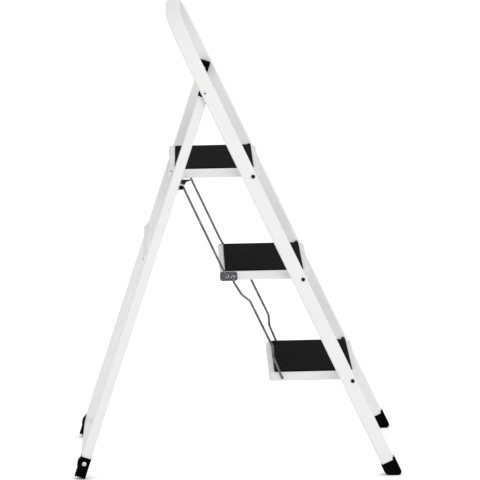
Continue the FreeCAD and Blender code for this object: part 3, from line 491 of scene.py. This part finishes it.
@dataclass(frozen=True)
class SocketScrew:
    """Domed screw with a hexagon socket in its head."""

    shank_radius: float
    head_radius: float
    head_height: float
    shank_length: float
    socket_share: float = 0.42
    facets: int = 48

    @property
    def hexagon(self) -> np.ndarray:
        """Radius of a hexagon of unit apothem at each angle."""
        angle = np.linspace(0.0, 2.0 * math.pi, self.facets, endpoint=False)
        sector = math.pi / 3
        return 1.0 / np.cos((angle + sector / 2) % sector - sector / 2)

    def build(self, name: str, seat: Vector, outward: Vector) -> bpy.types.Object:
        """The screw: a profile turned about its axis, with a six-sided hollow in the crown.

        The dome's radius falls from the head's radius to 0.55 of it as a quarter of an ellipse rises
        to the head's height. In the socket the radius at each angle is that of a hexagon, the apothem
        divided by the cosine of the angle from the nearest flat's middle.

        Args:
            name: Name of the object.
            seat: Point where the head meets the surface.
            outward: Direction from the seat to the crown.

        Returns:
            The new object.
        """
        round_row = np.ones(self.facets)
        hexagon = self.hexagon
        apothem = self.socket_share * self.head_radius
        floor = self.head_height * 0.05
        turn = np.linspace(0.0, math.pi / 2, 7)
        land = 1.35 * apothem
        shank, tip = self.shank_radius, -self.shank_length
        stations = [(0.02 * shank, tip), (0.8 * shank, tip), (shank, tip + 0.4 * shank), (shank, 0.0),
                    (0.96 * self.head_radius, 0.0), (self.head_radius, 0.06 * self.head_height)]
        stations += [(land + (self.head_radius - land) * math.cos(t),
                      self.head_height * (0.35 + 0.65 * math.sin(t))) for t in turn]
        rows = [radius * round_row for radius, _ in stations]
        along = [distance for _, distance in stations]
        for radius, distance in ((apothem, self.head_height), (0.95 * apothem, self.head_height * 0.97),
                                 (0.95 * apothem, floor), (0.02 * apothem, floor * 0.8)):
            rows.append(radius * hexagon)
            along.append(distance)
        return turned(name, np.array(rows), np.array(along), seat, outward)

    def build_socket_shade(self, name: str, seat: Vector, outward: Vector) -> bpy.types.Object:
        """Painted shade in the socket: a dark hexagon turned about the screw's axis, slightly domed.

        Args:
            name: Name of the object.
            seat: Point where the head meets the surface.
            outward: Direction from the seat to the crown.

        Returns:
            The new object.
        """
        share = np.array([0.05, 0.90, 0.90, 0.75, 0.05]) * self.socket_share * self.head_radius
        along = np.array([0.15, 0.15, 0.88, 0.95, 0.97]) * self.head_height
        return turned(name, share[:, None] * self.hexagon, along, seat, outward)


@dataclass(frozen=True)
class PaintedGlintWasher:
    """Thin bright washer round a link's pin: a painted highlight where the wire's bend shines."""

    inner: float = 2.75 * MM
    outer: float = 3.9 * MM
    thickness: float = 0.8 * MM
    facets: int = 40

    def build(self, name: str, seat: Vector, outward: Vector) -> bpy.types.Object:
        """The washer: a rounded rectangle carried round a circle.

        The section has its corners taken off by a fifth of the thickness, and its points go round
        it once, so that the surface is a closed ring.

        Args:
            name: Name of the object.
            seat: Point on the plate on the pin's axis.
            outward: Direction out of the plate.

        Returns:
            The new object.
        """
        cut = 0.2 * self.thickness
        low, high = 0.02 * MM, self.thickness
        section = np.array([(self.inner + cut, low), (self.outer - cut, low), (self.outer, low + cut),
                            (self.outer, high - cut), (self.outer - cut, high), (self.inner + cut, high),
                            (self.inner, high - cut), (self.inner, low + cut)])
        angle = np.linspace(0.0, 2.0 * math.pi, self.facets, endpoint=False)
        side = outward.orthogonal().normalized()
        up = outward.cross(side)
        offset = np.cos(angle)[:, None] * np.array(side) + np.sin(angle)[:, None] * np.array(up)
        ring = section[:, 0, None, None] * offset[None]
        points = np.array(seat) + ring + section[:, 1, None, None] * np.array(outward)
        rows = len(section)
        points = np.concatenate([points, points[:1]])
        quads = ring_quads(rows + 1, self.facets) % (rows * self.facets)
        return mesh_object(name, points[:rows].reshape(-1, 3), quads)


@dataclass(frozen=True)
class WeldBead:
    """Short rippled weld bead."""

    radius: float = 1.5 * MM
    ripples: int = 9
    ripple_share: float = 0.08
    stations: int = 90
    facets: int = 16

    def build(self, name: str, start: Vector, end: Vector) -> bpy.types.Object:
        """The bead: a circle carried along a line.

        With t from 0 to 1 along the line, the circle's radius is the bead's radius times the fourth
        root of 1 - (2t - 1)^8, so that both ends close, times 1 + ripple share * cos(2 pi * ripples
        * t).

        Args:
            name: Name of the object.
            start: First end of the line.
            end: Second end of the line.

        Returns:
            The new object.
        """
        t = 0.5 - 0.5 * np.cos(np.linspace(0.01, 0.99, self.stations) * math.pi)
        taper = (1.0 - (2.0 * t - 1.0) ** 8) ** 0.25
        ripple = 1.0 + self.ripple_share * np.cos(2.0 * math.pi * self.ripples * t)
        radii = (self.radius * taper * ripple)[:, None] * np.ones(self.facets)
        line = end - start
        return turned(name, radii, t * line.length, start, line.normalized())


@dataclass(frozen=True)
class TreadMat:
    """Moulded rubber mat: rolled edge, flat border, groove and a pebbled field."""

    corner: float = 7.0 * MM
    pitch: float = 1.25 * MM
    pebble_pitch: float = 5.2 * MM
    pebble_height: float = 0.16 * MM
    insets: tuple[float, ...] = (0.0, 0.12, 0.35, 0.7, 1.2, 2.1, 3.0, 3.3, 3.6, 4.4, 4.7, 5.1)
    relief_inset: tuple[float, ...] = (0.0, 0.12, 0.35, 0.7, 1.2, 3.0, 3.6, 4.4, 5.1)
    relief_height: tuple[float, ...] = (1.70, 2.02, 2.25, 2.36, 2.40, 2.40, 1.75, 1.75, 2.24)

    def stations(self, half: float) -> np.ndarray:
        """Stations across the mat: close together at both edges, evenly spread between.

        Args:
            half: Half the mat's width in this direction.

        Returns:
            Positions from -half to half.
        """
        edge = np.array(self.insets) * MM
        reach = half - edge[-1]
        inner = np.linspace(-reach, reach, int(2 * reach / self.pitch))[1:-1]
        return np.concatenate([edge - half, inner, (half - edge)[::-1]])

    def build(self, name: str, low: Vector, high: Vector) -> bpy.types.Object:
        """The mat: a height over its rounded rectangle, closed by its sides and a flat base.

        Rows run along X at equal Y. Each row is as long as the rounded rectangle is wide there, half
        width less corner plus the root of corner^2 less the square of the way into the corner. The
        height depends on the distance to the outline by straight pieces. Inside the groove it gains
        the pebble height times the mean of three cosines whose waves run 60 degrees apart.

        Args:
            name: Name of the object.
            low: Lowest corner of the mat's box.
            high: Highest corner of the mat's box.

        Returns:
            The new object.
        """
        half_x, half_y = (high.x - low.x) / 2, (high.y - low.y) / 2
        across, along = self.stations(half_x), self.stations(half_y)
        into = np.maximum(np.abs(along) - (half_y - self.corner), 0.0)
        limit = half_x - self.corner + np.sqrt(np.maximum(self.corner ** 2 - into ** 2, 0.0))
        x = across[None, :] * (limit / half_x)[:, None]
        y = np.repeat(along[:, None], len(across), axis=1)
        qx, qy = np.abs(x) - (half_x - self.corner), np.abs(y) - (half_y - self.corner)
        outside = np.hypot(np.maximum(qx, 0.0), np.maximum(qy, 0.0))
        outside = outside + np.minimum(np.maximum(qx, qy), 0.0)
        inset = np.maximum(self.corner - outside, 0.0)
        height = np.interp(inset / MM, self.relief_inset, self.relief_height) * MM
        wave = 2.0 * math.pi / self.pebble_pitch
        slant = wave * y * math.sqrt(3.0) / 2
        pebble = (np.cos(wave * x) + np.cos(0.5 * wave * x + slant) + np.cos(0.5 * wave * x - slant)) / 3
        field_share = np.clip((inset / MM - self.relief_inset[-1]) / 1.5, 0.0, 1.0)
        height = height + self.pebble_height * field_share * (pebble - 0.25)
        rows, columns = x.shape
        top = np.stack([x + (low.x + high.x) / 2, y + (low.y + high.y) / 2, low.z + height], axis=-1)
        number = np.arange(rows * columns).reshape(rows, columns)
        quads = np.stack([number[:-1, :-1], number[:-1, 1:], number[1:, 1:], number[1:, :-1]], axis=-1)
        rim = np.concatenate([number[0, :-1], number[:-1, -1], number[-1, :0:-1], number[:0:-1, 0]])
        base = top.reshape(-1, 3)[rim].copy()
        base[:, 2] = low.z
        foot = rows * columns + np.arange(len(rim))
        sides = np.stack([rim, foot, np.roll(foot, -1), np.roll(rim, -1)], axis=-1)
        points = np.concatenate([top.reshape(-1, 3), base])
        faces = np.concatenate([quads.reshape(-1, 4), sides])
        return mesh_object(name, points, faces, [foot[::-1].tolist()])


# ------------------------------------------------------------------------------ sub-assemblies
def middle_of(node: str) -> Vector:
    """Middle of a mechanical node's box."""
    low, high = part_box(node)
    return (low + high) / 2


@dataclass
class Step:
    """One tread: the pressed pan with its rubber mat, and what is fixed to it."""

    name: StepName
    finishes: Finishes
    nose: float = 15.0 * MM
    over_axis: float = 8.4 * MM
    mat: TreadMat = field(default_factory=TreadMat)

    @property
    def body(self) -> str:
        """The body that the step turns with."""
        return f"step_{self.name.value}"

    @property
    def axis(self) -> Vector:
        """Middle of the step's turning axis."""
        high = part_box(f"{self.body}_pan")[1]
        return Vector((high.x - self.nose, 0.0, high.z - self.over_axis))

    def build(self) -> None:
        """Dress the pan and lay the mat on it."""
        dress(self.finishes.pan_white, f"{self.body}_pan")
        node = f"{self.body}_mat"
        mat = self.mat.build(f"{self.body}_tread", *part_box(node))
        place_piece(mat, self.finishes.rubber, self.body)
        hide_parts(node)


@dataclass
class PlatformHooks:
    """Hook plates at the platform's rear."""

    dip_behind_peg: float = 9.0 * MM

    def build(self) -> None:
        """Dress both hooks."""
        peg = middle_of("rest_pegs")
        skirt_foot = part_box("step_top_pan")[0].z
        dipped = DippedHook(edge_x=peg.x - self.dip_behind_peg, edge_z=skirt_foot - 0.5 * MM).build()
        for side in Side:
            dress(dipped, f"platform_hook_{side.name.lower()}")


@dataclass
class MiddleBrackets:
    """Plates on the middle step where the upper and lower links meet."""

    finishes: Finishes
    washer: PaintedGlintWasher = field(default_factory=PaintedGlintWasher)
    pins: tuple[tuple[float, float], ...] = ((15.7 * MM, -9.2 * MM), (28.3 * MM, -11.9 * MM))

    def build(self) -> None:
        """Dress both plates and put a bright washer round each pin, a painted highlight where the wire's
        bend shines.
        """
        for side in Side:
            node = f"middle_bracket_{side.name.lower()}"
            dress(self.finishes.zinc, node)
            low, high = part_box(node)
            face = high.y if side is Side.LEFT else low.y
            for number, (inset, drop) in enumerate(self.pins):
                seat = Vector((low.x + inset, face, high.z + drop))
                # The washer is a bright ring placed as a painted highlight of the wire's bend at the pin.
                washer = self.washer.build(f"painted_glint_washer_{side.name.lower()}_{number}", seat,
                                           Vector((0, side.value, 0)))
                place_piece(washer, self.finishes.bright_zinc, "step_middle")


@dataclass
class Links:
    """The bent wires between the steps."""

    finishes: Finishes

    def build(self) -> None:
        """Dress the wires and the clips on their ends."""
        for level in ("upper", "lower"):
            dress(self.finishes.wire, f"{level}_link_left", f"{level}_link_right")
            dress(self.finishes.bright_zinc, f"{level}_link_clips")


@dataclass
class FrontFrame:
    """Rails and hand loop with their feet, and the screws that everything turns on."""

    finishes: Finishes
    rail_outer: float = 229.5 * MM
    step_screw: SocketScrew = SocketScrew(2.95 * MM, 4.3 * MM, 3.2 * MM, 74.0 * MM)
    pivot_screw: SocketScrew = SocketScrew(3.95 * MM, 4.6 * MM, 3.4 * MM, 50.0 * MM)

    def build(self, steps: Sequence[Step]) -> None:
        """Dress the frame and put in the screws.

        Args:
            steps: The steps that turn on the frame.
        """
        dress(self.finishes.frame_white, "front_frame_tube")
        dress(self.finishes.plastic, "front_foot_cap_left", "front_foot_cap_right", "step_pivot_spacers",
              "frame_pivot_washers")
        dress(self.finishes.bright_zinc, "step_pivot_nuts")
        dress(self.finishes.black_steel, "frame_pivot_nuts")
        pivot = middle_of("frame_pivot_bolts")
        for side in Side:
            outward = Vector((0, side.value, 0))
            tag = side.name.lower()
            for step in steps:
                seat = Vector((step.axis.x, side.value * self.rail_outer, step.axis.z))
                screw = self.step_screw.build(f"step_screw_{step.name.value}_{tag}", seat, outward)
                place_piece(screw, self.finishes.black_steel, "front_frame")
                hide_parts("step_pivot_bolts")
            seat = Vector((pivot.x, side.value * self.rail_outer, pivot.z))
            screw = self.pivot_screw.build(f"pivot_screw_{tag}", seat, outward)
            place_piece(screw, self.finishes.frame_white, "front_frame")
            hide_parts("frame_pivot_bolts")
            # A black hexagon in the pivot screw's socket paints the shade of the hollow.
            socket_shade = self.pivot_screw.build_socket_shade(f"pivot_screw_socket_shade_{tag}", seat, outward)
            place_piece(socket_shade, self.finishes.plastic, "front_frame")


@dataclass
class RearFrame:
    """Rear legs with their caps, feet, bars and rest pegs."""

    finishes: Finishes
    leg_inner: float = 187.0 * MM
    leg_outer: float = 204.0 * MM
    foot_screw: SocketScrew = SocketScrew(2.45 * MM, 5.25 * MM, 2.2 * MM, 34.0 * MM)
    brace_screw: SocketScrew = SocketScrew(2.45 * MM, 4.5 * MM, 2.4 * MM, 24.0 * MM)
    foot_wall: float = 1.9 * MM
    brace_half: float = 1.5 * MM
    bead_behind_peg: float = 4.0 * MM
    bead_off_peg: float = 3.9 * MM
    bead: WeldBead = field(default_factory=WeldBead)

    @property
    def uphill(self) -> Vector:
        """Unit vector up along the rear legs."""
        return (middle_of("frame_pivot_bolts") - middle_of("rear_foot_screws")).normalized()

    def build(self) -> None:
        """Dress the frame, put in its screws and lay the welds of the pegs."""
        white = self.finishes.frame_white
        dress(white, "rear_leg_left", "rear_leg_right", "lower_cross_bar", "mid_cross_brace", "rest_pegs")
        dress(self.finishes.plastic, "rear_leg_top_cap_left", "rear_leg_top_cap_right",
              "rear_foot_cap_left", "rear_foot_cap_right", "lower_bar_plugs", "rest_peg_caps")
        uphill = self.uphill
        forward = Vector((0, 1, 0)).cross(uphill)
        for side in Side:
            self.fasten(side, forward)
            self.weld(side, uphill, forward)

    def fasten(self, side: Side, forward: Vector) -> None:
        """Put in one side's foot screw and brace screw.

        Args:
            side: The side of the stool.
            forward: Unit vector square to the legs, towards the front.
        """
        tag = side.name.lower()
        bar = middle_of("rear_foot_screws")
        seat = Vector((bar.x, side.value * (self.leg_outer + self.foot_wall), bar.z))
        screw = self.foot_screw.build(f"foot_screw_{tag}", seat, Vector((0, side.value, 0)))
        place_piece(screw, self.finishes.bright_zinc, "rear_frame")
        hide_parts("rear_foot_screws")
        brace = middle_of("mid_cross_brace")
        centre = side.value * (self.leg_inner + self.leg_outer) / 2
        seat = Vector((brace.x, centre, brace.z)) - forward * self.brace_half
        screw = self.brace_screw.build(f"brace_screw_{tag}", seat, -forward)
        place_piece(screw, self.finishes.bright_zinc, "rear_frame")
        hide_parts("mid_brace_bolts")

    def weld(self, side: Side, uphill: Vector, forward: Vector) -> None:
        """Lay the beads above and below one side's peg, along its line of contact with the leg.

        Args:
            side: The side of the stool.
            uphill: Unit vector up along the legs.
            forward: Unit vector square to the legs, towards the front.
        """
        peg = middle_of("rest_pegs")
        for place, sign in (("above", 1), ("below", -1)):
            line = peg - forward * self.bead_behind_peg + uphill * sign * self.bead_off_peg
            ends = [Vector((line.x, side.value * distance, line.z)) for distance in
                    (self.leg_inner + MM, self.leg_outer - MM)]
            bead = self.bead.build(f"peg_weld_{side.name.lower()}_{place}", *ends)
            place_piece(bead, self.finishes.frame_white, "rear_frame")


# ------------------------------------------------------------------------------ studio
@dataclass(frozen=True)
class Viewpoint:
    """A camera set by its place, its three turns and its lens."""

    place: tuple[float, float, float] = (-0.0954, -7.4708, 1.8797)
    yaw: float = 0.0151
    pitch: float = 0.1835
    roll: float = 0.0191
    lens: float = 253.45
    sensor: float = 36.0

    def build(self) -> None:
        """Make the camera and look through it."""
        yaw, pitch, roll = self.yaw, self.pitch, self.roll
        reach = math.cos(pitch)
        ahead = Vector((math.sin(yaw) * reach, math.cos(yaw) * reach, -math.sin(pitch)))
        right = Vector((math.cos(yaw), -math.sin(yaw), 0.0))
        down = ahead.cross(right)
        level = right * math.cos(roll) + down * math.sin(roll)
        lower = -right * math.sin(roll) + down * math.cos(roll)
        turn = Matrix((level, -lower, -ahead)).transposed().to_4x4()
        data = bpy.data.cameras.new("view")
        data.lens = self.lens
        data.sensor_width = self.sensor
        camera = bpy.data.objects.new("view", data)
        camera.matrix_world = Matrix.Translation(self.place) @ turn
        bpy.context.scene.collection.objects.link(camera)
        bpy.context.scene.camera = camera


@dataclass(frozen=True)
class Softbox:
    """A large square lamp aimed at the stool."""

    name: str
    place: tuple[float, float, float]
    aim: tuple[float, float, float]
    size: float
    power: float

    def build(self) -> None:
        """Make the lamp."""
        data = bpy.data.lights.new(self.name, "AREA")
        data.size = self.size
        data.energy = self.power
        lamp = bpy.data.objects.new(self.name, data)
        lamp.location = self.place
        lamp.rotation_euler = (Vector(self.aim) - Vector(self.place)).to_track_quat("-Z", "Y").to_euler()
        bpy.context.scene.collection.objects.link(lamp)


@dataclass(frozen=True)
class Studio:
    """White room: even light from all round, two softboxes and a pale floor."""

    surround: float = 0.84
    floor_half: float = 30.0
    floor_drop: float = 0.0003
    floor_tone: float = 0.88
    floor_seen: float = 1.30
    lamps: tuple[Softbox, ...] = (
        Softbox("key", (1.5, -5.4, 1.5), (0.0, 0.0, 0.5), 2.6, 62.0),
        Softbox("top", (0.6, 0.4, 4.2), (0.0, 0.0, 0.4), 2.4, 12.0),
    )

    def build(self) -> None:
        """Light the room and lay the floor."""
        scene = bpy.context.scene
        scene.view_settings.view_transform = "Standard"
        self.build_surround(scene)
        self.build_floor()
        for lamp in self.lamps:
            lamp.build()

    def build_surround(self, scene: bpy.types.Scene) -> None:
        """Even light, seen as plain white.

        Args:
            scene: The scene to light.
        """
        world = bpy.data.worlds.new("surround")
        world.use_nodes = True
        tree = world.node_tree
        path = tree.nodes.new("ShaderNodeLightPath")
        strength = tree.nodes.new("ShaderNodeMapRange")
        strength.inputs["To Min"].default_value = self.surround
        strength.inputs["To Max"].default_value = 1.0
        tree.links.new(path.outputs["Is Camera Ray"], strength.inputs["Value"])
        background = tree.nodes["Background"]
        background.inputs["Color"].default_value = (1.0, 1.0, 1.0, 1.0)
        tree.links.new(strength.outputs["Result"], background.inputs["Strength"])
        scene.world = world

    def build_floor(self) -> None:
        """A wide matt floor that keeps the stool's shadow."""
        half = self.floor_half
        corners = np.array([(-half, -half, -self.floor_drop), (half, -half, -self.floor_drop),
                            (half, half, -self.floor_drop), (-half, half, -self.floor_drop)])
        floor = mesh_object("floor", corners, np.array([[0, 1, 2, 3]]))
        graph = Graph("floor_paint")
        path = graph.tree.nodes.new("ShaderNodeLightPath")
        seen, unseen = (self.floor_seen,) * 3, (self.floor_tone,) * 3
        graph.colour(path.outputs["Is Camera Ray"], unseen, seen)
        graph.roughness(graph.span(graph.noise(3.0), 0.9, 1.0))
        graph.constant(Specular_IOR_Level=0.0)
        floor.data.materials.append(graph.material)


def main() -> None:
    """Build the studio and the stool, sub-assembly by sub-assembly."""
    logging.basicConfig(level=logging.INFO, format="%(message)s")
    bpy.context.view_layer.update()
    Studio().build()
    Viewpoint().build()
    finishes = Finishes()
    steps = [Step(name, finishes) for name in StepName]
    FrontFrame(finishes).build(steps)
    RearFrame(finishes).build()
    for step in steps:
        step.build()
    PlatformHooks().build()
    MiddleBrackets(finishes).build()
    Links(finishes).build()


if __name__ == "__main__":
    main()
